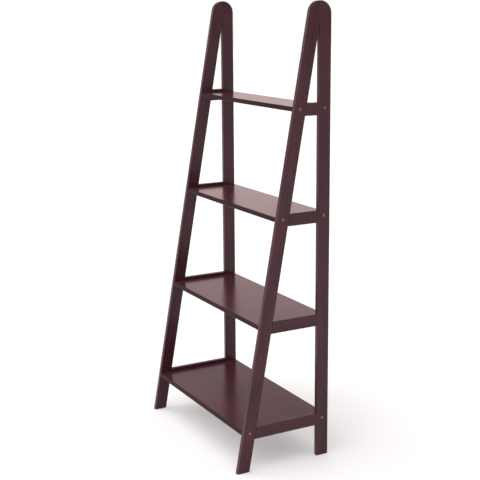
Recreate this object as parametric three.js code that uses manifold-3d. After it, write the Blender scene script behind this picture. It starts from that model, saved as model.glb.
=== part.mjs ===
// A free-standing ladder shelf: two A-shaped side frames of solid wood with four shelves between them.
// Each side frame is an upright rear post and a leaning front leg that share one round head, tied by four rails
// on stub tenons. Three shelves are drawn up between the frames by bolts into barrel nuts, and one sits on
// blind dowels. Units are millimetres: +X is to the viewer's right, -Y is the front, +Z is up, and the origin
// is on the floor at the centre of the footprint.
import * as THREE from "three";
import { mergeVertices } from "three/addons/utils/BufferGeometryUtils.js";
import Module from "manifold-3d";

const wasm = await Module();
wasm.setup();

// ---- Driving dimensions ----
const overallWidth = 670; // over the outer faces of the side frames
const overallDepth = 350; // from the back of the posts to the toes of the legs, at the floor
const overallHeight = 1520; // to the crown of the round heads
const frameThickness = 16; // of posts, legs and rails
const postWidth = 44;
const legWidth = 44; // square across the leg
const headRadius = 41; // of the head that the post and the leg share
const railHeight = 41;
const bottomRailTop = 152; // the lowest rail's top edge above the floor
const topRailDrop = 318; // the highest rail's top edge below the crown of the head
const shelfThickness = 15;
const railLip = 11; // how far a rail stands above its shelf
const shelfSetback = 1; // of a shelf's front edge behind the front faces of the legs
const easedEdge = 1.5; // radius of the eased edges of the side frames
const shelfEdge = 2; // radius of the eased long edges of the shelves
const touchGap = 0.3; // between two pieces that touch

// ---- Joinery ----
const tenonLength = 12;
const tenonThickness = 6;
const tenonShoulder = 6; // above and below a tenon
const mortiseRoom = 1; // past a tenon's end
const headDowelRadius = 3;
const headDowelLength = 30;
const headDowelShares = { lower: 0.27, upper: 0.68 }; // their heights up the glued joint, as shares of it
const shelfDowelRadius = 4;
const shelfDowelLength = 30;
const shelfDowelInFrame = 10;
const dowelChamfer = 1;

// ---- Bolts and barrel nuts ----
const boltRadius = 3;
const boltLength = 46; // under the head
const boltHeadRadius = 5;
const boltHeadHeight = 3.6;
const boltHeadCrown = 0.7; // rise of the rounded rim within the head's height
const boltHeadShoulder = 0.3; // the rim's middle ring lies this share of the crown in and down
const boltPointChamfer = 1;
const socketAcrossFlats = 4;
const socketSides = 6;
const socketDepth = 2.2;
const counterboreDepth = 3.9;
const boltHoleClearance = 0.5;
const nutRadius = 4.7;
const nutLength = 9.6;
const nutFromShelfEnd = 28; // the nut's axis from the end of its shelf
const nutSlotWidth = 1.2;
const nutSlotDepth = 1;

// ---- Worked out from the values above ----
const levels = ["bottom", "lower", "upper", "top"]; // shelves and rails, from the floor up
const dowelledLevel = "lower"; // the shelf that sits on blind dowels
const shelfPitch = (overallHeight - topRailDrop - bottomRailTop) / (levels.length - 1);
const headCentreHeight = overallHeight - headRadius;
const toeToHead = Math.hypot(overallDepth - headRadius, headCentreHeight);
const lean = Math.atan2(overallDepth - headRadius, headCentreHeight) - Math.asin(headRadius / toeToHead);
const slope = Math.tan(lean); // how far the leg comes back for each millimetre it rises
const legRun = legWidth / Math.cos(lean); // the leg's width along the floor
const shelfLength = overallWidth - 2 * (frameThickness + touchGap);
const crotchHeight = (overallDepth - legRun - postWidth) / slope; // where leg and post meet

// ---- Drawing ----
const arcSteps = 10; // curve segments in a head
const edgeSteps = 4; // curve segments in an eased edge of a shelf
const roundSides = 16; // sides of bolts, nuts, dowels and their holes
const overcut = 5; // how far a cutting shape runs past what it cuts
const cutMargin = 0.05; // a cut lies this far clear of an edge that it follows

// Forward distances are measured from the back of the posts.
const legFrontAt = (z) => overallDepth - slope * z;
const legRearAt = (z) => legFrontAt(z) - legRun;
const railTopAt = (level) => bottomRailTop + levels.indexOf(level) * shelfPitch;
const shelfTopAt = (level) => railTopAt(level) - railLip;
const boltHeightAt = (level) => shelfTopAt(level) - shelfThickness / 2;

// ---- Materials ----
const espressoWood = new THREE.MeshStandardMaterial({ color: 0x4a3036, roughness: 0.3, metalness: 0 });
const bareWood = new THREE.MeshStandardMaterial({ color: 0xc9a77a, roughness: 0.8, metalness: 0 });
const antiqueBrass = new THREE.MeshStandardMaterial({ color: 0x9c7b55, roughness: 0.35, metalness: 1 });
const zincSteel = new THREE.MeshStandardMaterial({ color: 0xb4b6b8, roughness: 0.35, metalness: 1 });

// ---- Solids ----

// A closed geometry as a manifold-3d solid. Triangles that collapse at a pole are dropped.
function solidOf(geometry) {
  const bare = new THREE.BufferGeometry();
  bare.setAttribute("position", geometry.getAttribute("position"));
  bare.setIndex(geometry.index);
  const merged = mergeVertices(bare, 1e-4);
  const index = merged.index.array;
  const kept = [];
  for (let i = 0; i < index.length; i += 3) {
    const [a, b, c] = [index[i], index[i + 1], index[i + 2]];
    if (a !== b && b !== c && c !== a) kept.push(a, b, c);
  }
  const mesh = new wasm.Mesh({
    numProp: 3,
    vertProperties: merged.getAttribute("position").array,
    triVerts: new Uint32Array(kept),
  });
  return new wasm.Manifold(mesh);
}

// A solid's surface as a geometry that three.js can draw.
function geometryOf(solid) {
  const mesh = solid.getMesh();
  const places = new Float32Array(mesh.numVert * 3);
  for (let i = 0; i < mesh.numVert; i++) {
    const start = i * mesh.numProp;
    places.set(mesh.vertProperties.subarray(start, start + 3), i * 3);
  }
  const geometry = new THREE.BufferGeometry();
  geometry.setAttribute("position", new THREE.BufferAttribute(places, 3));
  geometry.setIndex(new THREE.BufferAttribute(mesh.triVerts, 1));
  geometry.computeVertexNormals();
  return geometry;
}

// A straight prism: an outline of [x, y] corners, from one z to another.
function prism(corners, from, to) {
  const shape = new THREE.Shape(corners.map(([x, y]) => new THREE.Vector2(x, y)));
  const geometry = new THREE.ExtrudeGeometry(shape, { depth: to - from, bevelEnabled: false });
  return solidOf(geometry.translate(0, 0, from));
}

// A cylinder along z, from one z to another.
function rodAlongZ(radius, x, y, from, to) {
  const geometry = new THREE.CylinderGeometry(radius, radius, to - from, roundSides);
  geometry.rotateX(Math.PI / 2);
  return solidOf(geometry.translate(x, y, (from + to) / 2));
}

// A cylinder along x, from one x to another.
function rodAlongX(radius, y, z, from, to) {
  const geometry = new THREE.CylinderGeometry(radius, radius, to - from, roundSides);
  geometry.rotateZ(Math.PI / 2);
  return solidOf(geometry.translate((from + to) / 2, y, z));
}

// A turned solid about the y axis, from a profile of [radius, height] points that starts and ends on the axis.
function turned(profile) {
  const points = profile.map(([r, y]) => new THREE.Vector2(r, y));
  return solidOf(new THREE.LatheGeometry(points, roundSides));
}

function meshOf(name, solid, material) {
  const mesh = new THREE.Mesh(geometryOf(solid), material);
  mesh.name = name;
  return mesh;
}

// ---- Side frames ----
// A frame is drawn in its own plane: x runs forward from the back of the post, y runs up, z is the thickness.

// The outline of a whole side frame, head and rails included, with the gaps between the rails as holes.
function frameOutline() {
  const outline = new THREE.Shape();
  const footClearTop = railTopAt("bottom") - railHeight;
  outline.moveTo(0, 0);
  outline.lineTo(postWidth, 0);
  outline.lineTo(postWidth, footClearTop);
  outline.lineTo(legRearAt(footClearTop), footClearTop);
  outline.lineTo(legRearAt(0), 0);
  outline.lineTo(legFrontAt(0), 0);
  outline.absarc(headRadius, headCentreHeight, headRadius, lean, Math.PI, false);
  outline.lineTo(0, 0);

  levels.forEach((level, i) => {
    const foot = railTopAt(level);
    const gap = new THREE.Path();
    gap.moveTo(postWidth, foot);
    if (i < levels.length - 1) {
      const ceiling = railTopAt(levels[i + 1]) - railHeight;
      gap.lineTo(postWidth, ceiling);
      gap.lineTo(legRearAt(ceiling), ceiling);
    } else {
      gap.lineTo(postWidth, crotchHeight);
    }
    gap.lineTo(legRearAt(foot), foot);
    gap.closePath();
    outline.holes.push(gap);
  });
  return outline;
}

// The whole frame as one piece of wood with its edges eased, which the separate pieces are then cut from,
// because a frame is sanded flush and eased after it is glued.
function blankFrame() {
  const geometry = new THREE.ExtrudeGeometry(frameOutline(), {
    depth: frameThickness - 2 * easedEdge,
    bevelEnabled: true,
    bevelThickness: easedEdge,
    bevelSize: easedEdge,
    bevelOffset: -easedEdge,
    bevelSegments: 2,
    curveSegments: arcSteps,
  });
  return solidOf(geometry.translate(0, 0, easedEdge));
}

// The part of a frame that is the rear post, as a cutting shape.
function postRegion() {
  const front = postWidth + cutMargin;
  const corners = [
    [-overcut, -overcut],
    [front, -overcut],
    [front, overallHeight + overcut],
    [-overcut, overallHeight + overcut],
  ];
  return prism(corners, -overcut, frameThickness + overcut);
}

// The part of a frame that is the front leg, as a cutting shape.
function legRegion() {
  const joint = postWidth + cutMargin + touchGap;
  const rearAt = (z) => legRearAt(z) - cutMargin;
  const jointFoot = (overallDepth - legRun - cutMargin - joint) / slope;
  const reach = overallDepth + overcut;
  const corners = [
    [rearAt(-overcut), -overcut],
    [reach, -overcut],
    [reach, overallHeight + overcut],
    [joint, overallHeight + overcut],
    [joint, jointFoot],
  ];
  return prism(corners, -overcut, frameThickness + overcut);
}

// The part of a frame that is one rail between its shoulders, as a cutting shape.
function railRegion(level) {
  const [low, high] = [railTopAt(level) - railHeight - overcut, railTopAt(level) + overcut];
  const back = postWidth + cutMargin + touchGap;
  const frontAt = (z) => legRearAt(z) - cutMargin - touchGap / Math.cos(lean);
  const corners = [
    [back, low],
    [frontAt(low), low],
    [frontAt(high), high],
    [back, high],
  ];
  return prism(corners, -overcut, frameThickness + overcut);
}

// The stub tenon at a rail's front or back end, grown by a margin to give its mortise.
function tenon(level, end, margin) {
  const low = railTopAt(level) - railHeight + tenonShoulder - margin;
  const high = railTopAt(level) - tenonShoulder + margin;
  const reach = tenonLength + (margin > 0 ? mortiseRoom : 0);
  const root = overcut / 2; // how far the tenon is rooted in its rail
  const sideways = (frameThickness - tenonThickness) / 2 - margin;
  const [from, to] =
    end === "front"
      ? [(z) => legRearAt(z) - root, (z) => legRearAt(z) + reach]
      : [() => postWidth - reach, () => postWidth + root];
  const corners = [
    [from(low), low],
    [to(low), low],
    [to(high), high],
    [from(high), high],
  ];
  return prism(corners, sideways, frameThickness - sideways);
}

// The two heights of the dowels in the joint between the leg and the post, spread over that joint.
function headDowelHeights() {
  const jointHeight = overallHeight - crotchHeight;
  const heightAt = (share) => crotchHeight + share * jointHeight;
  return { lower: heightAt(headDowelShares.lower), upper: heightAt(headDowelShares.upper) };
}

// The middle of the post and of the leg at a shelf, where its bolts or dowels go.
const fixingAt = {
  rear: () => postWidth / 2,
  front: (level) => legFrontAt(boltHeightAt(level)) - legRun / 2,
};

// The hole for a shelf's bolt or dowel in the post or the leg. outerFace is the z of the frame's outer face.
function fixingHole(level, place, outerFace) {
  const [x, y] = [fixingAt[place](level), boltHeightAt(level)];
  const inward = outerFace === 0 ? 1 : -1;
  const innerFace = frameThickness - outerFace;
  const between = (a, b) => [Math.min(a, b), Math.max(a, b)];
  if (level === dowelledLevel) {
    const blindEnd = innerFace - inward * (shelfDowelInFrame + touchGap);
    return rodAlongZ(shelfDowelRadius + touchGap, x, y, ...between(blindEnd, innerFace + inward * overcut));
  }
  const seat = outerFace + inward * counterboreDepth;
  const through = rodAlongZ(boltRadius + boltHoleClearance, x, y, -overcut, frameThickness + overcut);
  const counterbore = between(outerFace - inward * overcut, seat);
  return through.add(rodAlongZ(boltHeadRadius + boltHoleClearance, x, y, ...counterbore));
}

// One side frame: post, leg, four rails and the dowels of its head. outerFace is 0 or the frame's thickness.
function sideFrame(side, outerFace) {
  const group = new THREE.Group();
  const blank = blankFrame();
  let post = blank.intersect(postRegion());
  let leg = blank.intersect(legRegion());
  levels.forEach((level) => {
    post = post.subtract(tenon(level, "back", touchGap)).subtract(fixingHole(level, "rear", outerFace));
    leg = leg.subtract(tenon(level, "front", touchGap)).subtract(fixingHole(level, "front", outerFace));
    const rail = blank
      .intersect(railRegion(level))
      .add(tenon(level, "front", 0))
      .add(tenon(level, "back", 0));
    group.add(meshOf(`${side}_${level}_rail`, rail, espressoWood));
  });
  Object.entries(headDowelHeights()).forEach(([which, height]) => {
    const [from, to] = [postWidth - headDowelLength / 2, postWidth + headDowelLength / 2];
    const bore = rodAlongX(headDowelRadius + touchGap, height, frameThickness / 2, from - touchGap, to + touchGap);
    post = post.subtract(bore);
    leg = leg.subtract(bore);
    const dowel = meshOf(`${side}_head_dowel_${which}`, dowelSolid(headDowelRadius, headDowelLength), bareWood);
    dowel.rotation.z = -Math.PI / 2;
    dowel.position.set(from, height, frameThickness / 2);
    group.add(dowel);
  });
  group.add(meshOf(`${side}_rear_post`, post, espressoWood));
  group.add(meshOf(`${side}_front_leg`, leg, espressoWood));

  // Stand the frame up: its x runs to the front, its y up and its z towards -X.
  const [forward, up, across] = [
    new THREE.Vector3(0, -1, 0),
    new THREE.Vector3(0, 0, 1),
    new THREE.Vector3(-1, 0, 0),
  ];
  group.quaternion.setFromRotationMatrix(new THREE.Matrix4().makeBasis(forward, up, across));
  const startFace = outerFace === 0 ? overallWidth / 2 : frameThickness - overallWidth / 2;
  group.position.set(startFace, overallDepth / 2, 0);
  return group;
}

// ---- Fasteners, each turned about its own y axis ----

// A dowel from y = 0 up, with chamfered ends.
function dowelSolid(radius, length) {
  const profile = [
    [0, 0],
    [radius - dowelChamfer, 0],
    [radius, dowelChamfer],
    [radius, length - dowelChamfer],
    [radius - dowelChamfer, length],
    [0, length],
  ];
  return turned(profile);
}

// A bolt with its seat at y = 0 and its head above, with a hexagon socket.
function boltSolid() {
  const shank = boltRadius - boltPointChamfer;
  const shoulder = boltHeadShoulder * boltHeadCrown;
  const profile = [
    [0, -boltLength],
    [shank, -boltLength],
    [boltRadius, boltPointChamfer - boltLength],
    [boltRadius, 0],
    [boltHeadRadius, 0],
    [boltHeadRadius, boltHeadHeight - boltHeadCrown],
    [boltHeadRadius - shoulder, boltHeadHeight - shoulder],
    [boltHeadRadius - boltHeadCrown, boltHeadHeight],
    [0, boltHeadHeight],
  ];
  const corner = socketAcrossFlats / Math.sqrt(3);
  const socket = new THREE.CylinderGeometry(corner, corner, socketDepth + overcut, socketSides);
  socket.translate(0, boltHeadHeight - socketDepth + (socketDepth + overcut) / 2, 0);
  return turned(profile).subtract(solidOf(socket));
}

// A barrel nut centred on the bolt that crosses it along x, with a screwdriver slot in its lower end.
function nutSolid() {
  const half = nutLength / 2;
  const barrel = rodAlongZ(nutRadius, 0, 0, -half, half);
  const thread = rodAlongX(boltRadius + touchGap, 0, 0, -nutRadius - overcut, nutRadius + overcut);
  const slot = new THREE.BoxGeometry(2 * nutRadius + overcut, nutSlotWidth, 2 * nutSlotDepth);
  return barrel.subtract(thread).subtract(solidOf(slot.translate(0, 0, -half)));
}

// ---- Shelves ----
// A shelf is extruded along its length. Its section is drawn with x forward and y up.

// A shelf's section: the front edge leans with the legs, and the long edges are eased.
function shelfSection(level) {
  const [top, under] = [shelfTopAt(level), shelfTopAt(level) - shelfThickness];
  const frontAt = (z) => legFrontAt(z) - shelfSetback;
  const section = new THREE.Shape();
  const corner = (from, at, to) => {
    const towards = (a, b) => new THREE.Vector2(...b).sub(new THREE.Vector2(...a)).setLength(shelfEdge);
    const start = new THREE.Vector2(...at).add(towards(at, from));
    const end = new THREE.Vector2(...at).add(towards(at, to));
    section.lineTo(start.x, start.y);
    section.quadraticCurveTo(at[0], at[1], end.x, end.y);
  };
  const corners = [
    [0, under],
    [frontAt(under), under],
    [frontAt(top), top],
    [0, top],
  ];
  section.moveTo(frontAt(under) / 2, under);
  corner(corners[0], corners[1], corners[2]);
  corner(corners[1], corners[2], corners[3]);
  corner(corners[2], corners[3], corners[0]);
  corner(corners[3], corners[0], corners[1]);
  section.closePath();
  return section;
}

// Where a shelf's fixings stand, as x outwards, y and z in the part's own axes.
function fixings(level) {
  return ["left", "right"].flatMap((side) =>
    ["front", "rear"].map((place) => ({
      name: `${side}_${place}`,
      outward: side === "right" ? 1 : -1,
      y: overallDepth / 2 - fixingAt[place](level),
      z: boltHeightAt(level),
    })),
  );
}

// A shelf with its fixing holes, in the part's own axes.
function shelfSolid(level) {
  const board = new THREE.ExtrudeGeometry(shelfSection(level), {
    depth: shelfLength,
    bevelEnabled: false,
    curveSegments: edgeSteps,
  });
  const basis = new THREE.Matrix4().makeBasis(
    new THREE.Vector3(0, -1, 0),
    new THREE.Vector3(0, 0, 1),
    new THREE.Vector3(-1, 0, 0),
  );
  board.applyMatrix4(basis.setPosition(shelfLength / 2, overallDepth / 2, 0));
  let shelf = solidOf(board);
  fixings(level).forEach(({ outward, y, z }) => {
    const end = (outward * shelfLength) / 2;
    const boreTo = (reach) => [end - outward * reach, end + outward * overcut].sort((a, b) => a - b);
    if (level === dowelledLevel) {
      const depth = shelfDowelLength - shelfDowelInFrame;
      shelf = shelf.subtract(rodAlongX(shelfDowelRadius + touchGap, y, z, ...boreTo(depth)));
      return;
    }
    const depth = boltLength - (frameThickness - counterboreDepth) + touchGap;
    const nutAxis = end - outward * nutFromShelfEnd;
    const nutHole = [z - shelfThickness / 2 - overcut, z + nutLength / 2 + touchGap];
    shelf = shelf
      .subtract(rodAlongX(boltRadius + boltHoleClearance, y, z, ...boreTo(depth)))
      .subtract(rodAlongZ(nutRadius + touchGap, nutAxis, y, ...nutHole));
  });
  return shelf;
}

// One shelf with the fasteners that hold it.
function shelfWithFixings(level) {
  const group = new THREE.Group();
  group.add(meshOf(`${level}_shelf`, shelfSolid(level), espressoWood));
  fixings(level).forEach(({ name, outward, y, z }) => {
    if (level === dowelledLevel) {
      const dowel = meshOf(
        `${level}_shelf_dowel_${name}`,
        dowelSolid(shelfDowelRadius, shelfDowelLength - touchGap),
        bareWood,
      );
      const innerFace = overallWidth / 2 - frameThickness;
      dowel.rotation.z = (outward * Math.PI) / 2;
      dowel.position.set(outward * (innerFace + shelfDowelInFrame), y, z);
      group.add(dowel);
      return;
    }
    const bolt = meshOf(`${level}_shelf_bolt_${name}`, boltSolid(), antiqueBrass);
    bolt.rotation.z = (-outward * Math.PI) / 2;
    bolt.position.set(outward * (overallWidth / 2 - counterboreDepth + touchGap), y, z);
    const nut = meshOf(`${level}_shelf_nut_${name}`, nutSolid(), zincSteel);
    nut.position.set(outward * (shelfLength / 2 - nutFromShelfEnd), y, z);
    group.add(bolt, nut);
  });
  return group;
}

const ladderShelf = new THREE.Group();
ladderShelf.add(sideFrame("right", 0));
ladderShelf.add(sideFrame("left", frameThickness));
levels.forEach((level) => ladderShelf.add(shelfWithFixings(level)));

export default ladderShelf;
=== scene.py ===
"""The looks of a free-standing ladder shelf in espresso lacquer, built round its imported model.

Each board is one closed surface worked out with numpy: a grid of stations laid over its face, rolled over
eased edges and pierced by round holes. The bolts are turned the same way, with a hexagon socket and a real
thread. Lengths are in metres, +Z is up and -Y is the front.
"""
import logging
import math
from dataclasses import dataclass, field
from enum import Enum
from typing import Any

import bpy
import numpy as np
from mathutils import Matrix, Vector


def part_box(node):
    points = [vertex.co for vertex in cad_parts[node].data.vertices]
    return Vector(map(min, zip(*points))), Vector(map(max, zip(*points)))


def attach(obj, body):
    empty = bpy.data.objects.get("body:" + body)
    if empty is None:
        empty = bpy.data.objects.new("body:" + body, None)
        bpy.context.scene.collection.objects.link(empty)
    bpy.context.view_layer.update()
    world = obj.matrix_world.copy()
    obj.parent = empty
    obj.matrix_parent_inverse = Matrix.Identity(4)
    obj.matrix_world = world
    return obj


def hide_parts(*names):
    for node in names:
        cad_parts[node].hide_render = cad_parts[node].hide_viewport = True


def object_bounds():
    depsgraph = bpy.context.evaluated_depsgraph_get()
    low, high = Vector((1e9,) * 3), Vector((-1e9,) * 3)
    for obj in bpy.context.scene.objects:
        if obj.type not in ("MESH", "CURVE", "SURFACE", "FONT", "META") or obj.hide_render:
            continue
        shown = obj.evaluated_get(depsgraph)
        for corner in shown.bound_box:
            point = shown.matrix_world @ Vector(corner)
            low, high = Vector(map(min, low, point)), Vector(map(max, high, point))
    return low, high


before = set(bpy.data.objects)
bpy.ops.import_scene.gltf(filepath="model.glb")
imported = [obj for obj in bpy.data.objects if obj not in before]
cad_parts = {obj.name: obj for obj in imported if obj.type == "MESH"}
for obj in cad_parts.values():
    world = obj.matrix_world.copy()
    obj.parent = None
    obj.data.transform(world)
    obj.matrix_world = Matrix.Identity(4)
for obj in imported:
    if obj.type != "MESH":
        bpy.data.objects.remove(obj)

LOG = logging.getLogger("ladder_shelf")
MM = 0.001
CAD_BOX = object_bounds()
WAVE_PERIOD = 2 * math.pi / 20  # a wave texture's own period at scale 1
NOISE_SPAN = (0.3, 0.7)  # nearly all of a noise's values lie between these
MIX_UNDER, MIX_OVER, MIX_COLOUR = 6, 7, 2  # a mix node's sockets for colours: two inputs and an output
WHITE = "#FFFFFF"
RIGHT_ANGLE = math.pi / 2
PLANK_STEP = np.array([0.731, 0.377, 0.193])  # metres of figure from one plank to the next
MARGIN = 2.6 * MM  # from a board's edge to the first line of its grid
STATION_DECIMALS = 7  # of a metre, to which two stations are the same
STATION_SLACK = 1e-6  # of a step, by which a stretch may be longer than its steps
BLOCK_LINES = np.arange(-3, 4)  # the grid lines round a bore, counted from its middle
ENDS = ("front", "rear")  # of a shelf's side, as the pieces' names spell them
FRAME_PLANKS = 6  # a post, a leg and four rails


class Side(Enum):
    """The two side frames. The value is the sign of X on that side."""

    LEFT = -1
    RIGHT = 1

    @property
    def word(self) -> str:
        """The side's name as the pieces' names spell it."""
        return self.name.lower()


class Level(Enum):
    """The shelves, each with its rails, from the floor up."""

    BOTTOM = "bottom"
    LOWER = "lower"
    UPPER = "upper"
    TOP = "top"

    @property
    def bolted(self) -> bool:
        """Whether bolts hold the shelf. The lower shelf sits on blind dowels."""
        return self is not Level.LOWER


class Slot(Enum):
    """The record's material slots for new pieces. No piece in this script takes one."""

    WOOD = "espresso_wood"
    BRASS = "antique_brass"


# ---- Finishes ----


def linear(hex_colour: str) -> tuple[float, float, float, float]:
    """Turns an sRGB hex colour into linear light, by the standard's curve of a straight start and a power.

    Args:
        hex_colour: The colour as "#RRGGBB".

    Returns:
        Linear red, green and blue, and an alpha of 1.
    """
    parts = [int(hex_colour[i : i + 2], 16) / 255 for i in (1, 3, 5)]
    low = [p / 12.92 if p <= 0.04045 else ((p + 0.055) / 1.055) ** 2.4 for p in parts]
    return (low[0], low[1], low[2], 1.0)


def add_node(
    tree: bpy.types.NodeTree,
    kind: str,
    settings: dict[str, Any],
    inputs: dict[str | int, Any],
    output: str | int = 0,
) -> tuple[bpy.types.Node, str | int]:
    """Adds a node with its settings and its inputs.

    Args:
        tree: The node tree to add to.
        kind: The node's type name, without the "ShaderNode" before it.
        settings: The node's own properties by name, or a colour ramp's "stops", as places and hex colours.
        inputs: Socket name or number to a value, or to what an earlier call returned, to link from it.
        output: The name or number of the output that later nodes link from.

    Returns:
        The new node and that output.
    """
    node = tree.nodes.new(f"ShaderNode{kind}")
    for name, value in settings.items():
        if name == "stops":
            elements = node.color_ramp.elements
            for place, _ in value[1:-1]:
                elements.new(place)
            for element, (place, colour) in zip(elements, value):
                element.position = place
                element.color = linear(colour)
        else:
            setattr(node, name, value)
    for name, value in inputs.items():
        socket = node.inputs[name]
        if isinstance(value, tuple) and isinstance(value[0], bpy.types.Node):
            tree.links.new(value[0].outputs[value[1]], socket)
        else:
            socket.default_value = value
    return node, output


def stops(places: tuple[float, ...], colours: tuple[str, ...]) -> dict[str, Any]:
    """Pairs places with colours as the settings of a colour ramp."""
    return {"stops": list(zip(places, colours))}


def ranged(source: Any, span: tuple[float, float], ends: tuple[float, float]) -> dict[str, Any]:
    """Fills the inputs of a map range, which carries a span of the source's values to two ends."""
    return {"Value": source, "From Min": span[0], "From Max": span[1], "To Min": ends[0], "To Max": ends[1]}


def new_material(name: str) -> tuple[bpy.types.Material, bpy.types.NodeTree]:
    """Makes an empty node material and returns it with its node tree."""
    material = bpy.data.materials.new(name)
    material.use_nodes = True
    material.node_tree.nodes.clear()
    return material, material.node_tree


@dataclass(frozen=True)
class Figure:
    """A noise whose cells have a real length along the grain and a real width across it."""

    length_mm: float
    width_mm: float
    detail: float
    warp: float = 0.0

    def add(self, tree: bpy.types.NodeTree, place: Any) -> tuple[bpy.types.Node, str | int]:
        """Adds the noise on coordinates in metres, the first of which runs along the grain."""
        across = 1 / (self.width_mm * MM)
        scale = (1 / (self.length_mm * MM), across, across)
        cells = add_node(tree, "Mapping", {}, {"Vector": place, "Scale": scale})
        inputs = {"Vector": cells, "Scale": 1.0, "Detail": self.detail, "Distortion": self.warp}
        return add_node(tree, "TexNoise", {}, inputs, "Fac")


@dataclass(frozen=True)
class EspressoLacquer:
    """Rubberwood stained espresso and sprayed with satin lacquer.

    The eye sees a dark plum-brown with faint long streaks, cloudy patches where the stain took unevenly, and
    a soft mirror image of what stands behind it. The arrises are rubbed a little thinner and redder, and the
    edges of the shelves have drunk in more stain and are duller.
    """

    shade: str = "#33181F"
    body: str = "#3F2028"
    glow: str = "#4E262F"
    rubbed: str = "#50302D"
    soaked: str = "#280F17"
    streaks: Figure = Figure(340.0, 7.0, 3.0, 0.3)  # real fibres are finer, drawn coarser so that they show
    pores: Figure = Figure(26.0, 1.6, 2.0)
    clouds: Figure = Figure(190.0, 95.0, 2.0, 0.6)
    peel: Figure = Figure(2.6, 2.6, 1.0)  # the spray's own ripple
    streak_stops: tuple[float, float, float] = (0.30, 0.52, 0.74)
    cloud_stops: tuple[float, float, float] = (0.32, 0.50, 0.70)
    cloud_share: float = 0.5  # against the streaks
    roughness: tuple[float, float] = (0.30, 0.44)
    pore_share: float = 0.35  # of the relief, against the ripple
    relief: float = 0.16
    relief_mm: float = 0.08
    edge_film: float = 0.35  # how much of the film is left on a shelf's edges, which drink it in
    coat_roughness: float = 0.23
    coat_ior: float = 1.34  # a thin sprayed film mirrors little face on and much at a slant

    def stain(self, tree: bpy.types.NodeTree, streaks: Any, clouds: Any) -> Any:
        """Builds the stain's colour.

        Args:
            tree: The node tree to add to.
            streaks: What drives the streaks.
            clouds: What drives the clouds.

        Returns:
            The node and output with the colour, thinner where the board is worn and darker on stained edges.
        """
        wear, edge = (add_node(tree, "Attribute", {"attribute_name": n}, {}, "Fac") for n in ("wear", "edge"))
        tones = (self.shade, self.body, self.glow)
        colour = add_node(tree, "ValToRGB", stops(self.streak_stops, tones), {"Fac": streaks})
        clouded = add_node(tree, "ValToRGB", stops(self.cloud_stops, tones), {"Fac": clouds})
        thin = add_node(tree, "Math", {"operation": "MULTIPLY"}, {0: wear, 1: clouds})
        shares = (self.cloud_share, thin, edge)
        for share, over in zip(shares, (clouded, linear(self.rubbed), linear(self.soaked))):
            inputs = {"Factor": share, MIX_UNDER: colour, MIX_OVER: over}
            colour = add_node(tree, "Mix", {"data_type": "RGBA"}, inputs, MIX_COLOUR)
        return colour

    def material(self) -> bpy.types.Material:
        """Builds the material on each board's "grain" coordinates, in metres, its "wear" and its "edge"."""
        material, tree = new_material("espresso_lacquered_rubberwood")
        grain = add_node(tree, "Attribute", {"attribute_name": "grain"}, {}, "Vector")
        edge = add_node(tree, "Attribute", {"attribute_name": "edge"}, {}, "Fac")
        figures = (self.streaks, self.pores, self.clouds, self.peel)
        streaks, pores, clouds, peel = (figure.add(tree, grain) for figure in figures)
        depths = {0: pores, 1: self.pore_share, 2: peel}
        relief = add_node(tree, "Math", {"operation": "MULTIPLY_ADD"}, depths)
        heights = {"Strength": self.relief, "Distance": self.relief_mm * MM, "Height": relief}
        bump = add_node(tree, "Bump", {}, heights)
        look = {
            "Base Color": self.stain(tree, streaks, clouds),
            "Roughness": add_node(tree, "MapRange", {}, ranged(clouds, NOISE_SPAN, self.roughness)),
            "Specular IOR Level": 0.0,
            "Coat Weight": add_node(tree, "MapRange", {}, ranged(edge, (0.0, 1.0), (1.0, self.edge_film))),
            "Coat Roughness": self.coat_roughness,
            "Coat IOR": self.coat_ior,
            "Normal": bump,
            "Coat Normal": bump,
        }
        shader = add_node(tree, "BsdfPrincipled", {}, look)
        add_node(tree, "OutputMaterial", {}, {"Surface": shader})
        return material


@dataclass(frozen=True)
class AntiqueBrassPlate:
    """Antique brass plating on steel, brushed dull in handling.

    The eye sees a warm tan glint with darker tarnish in the patches that fingers and keys don't reach.
    """

    bright: str = "#9E7E72"
    tarnish: str = "#664C46"
    tint_stops: tuple[float, float] = (0.35, 0.55)
    patches: Figure = Figure(3.5, 3.5, 3.0)
    roughness: tuple[float, float] = (0.48, 0.26)

    def material(self) -> bpy.types.Material:
        """Builds the material on Object coordinates."""
        material, tree = new_material("antique_brass_plate")
        patches = self.patches.add(tree, add_node(tree, "TexCoord", {}, {}, "Object"))
        tones = stops(self.tint_stops, (self.tarnish, self.bright))
        tint = add_node(tree, "ValToRGB", tones, {"Fac": patches})
        dull = add_node(tree, "MapRange", {}, ranged(patches, NOISE_SPAN, self.roughness))
        look = {"Base Color": tint, "Metallic": 1.0, "Roughness": dull}
        shader = add_node(tree, "BsdfPrincipled", {}, look)
        add_node(tree, "OutputMaterial", {}, {"Surface": shader})
        return material


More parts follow.
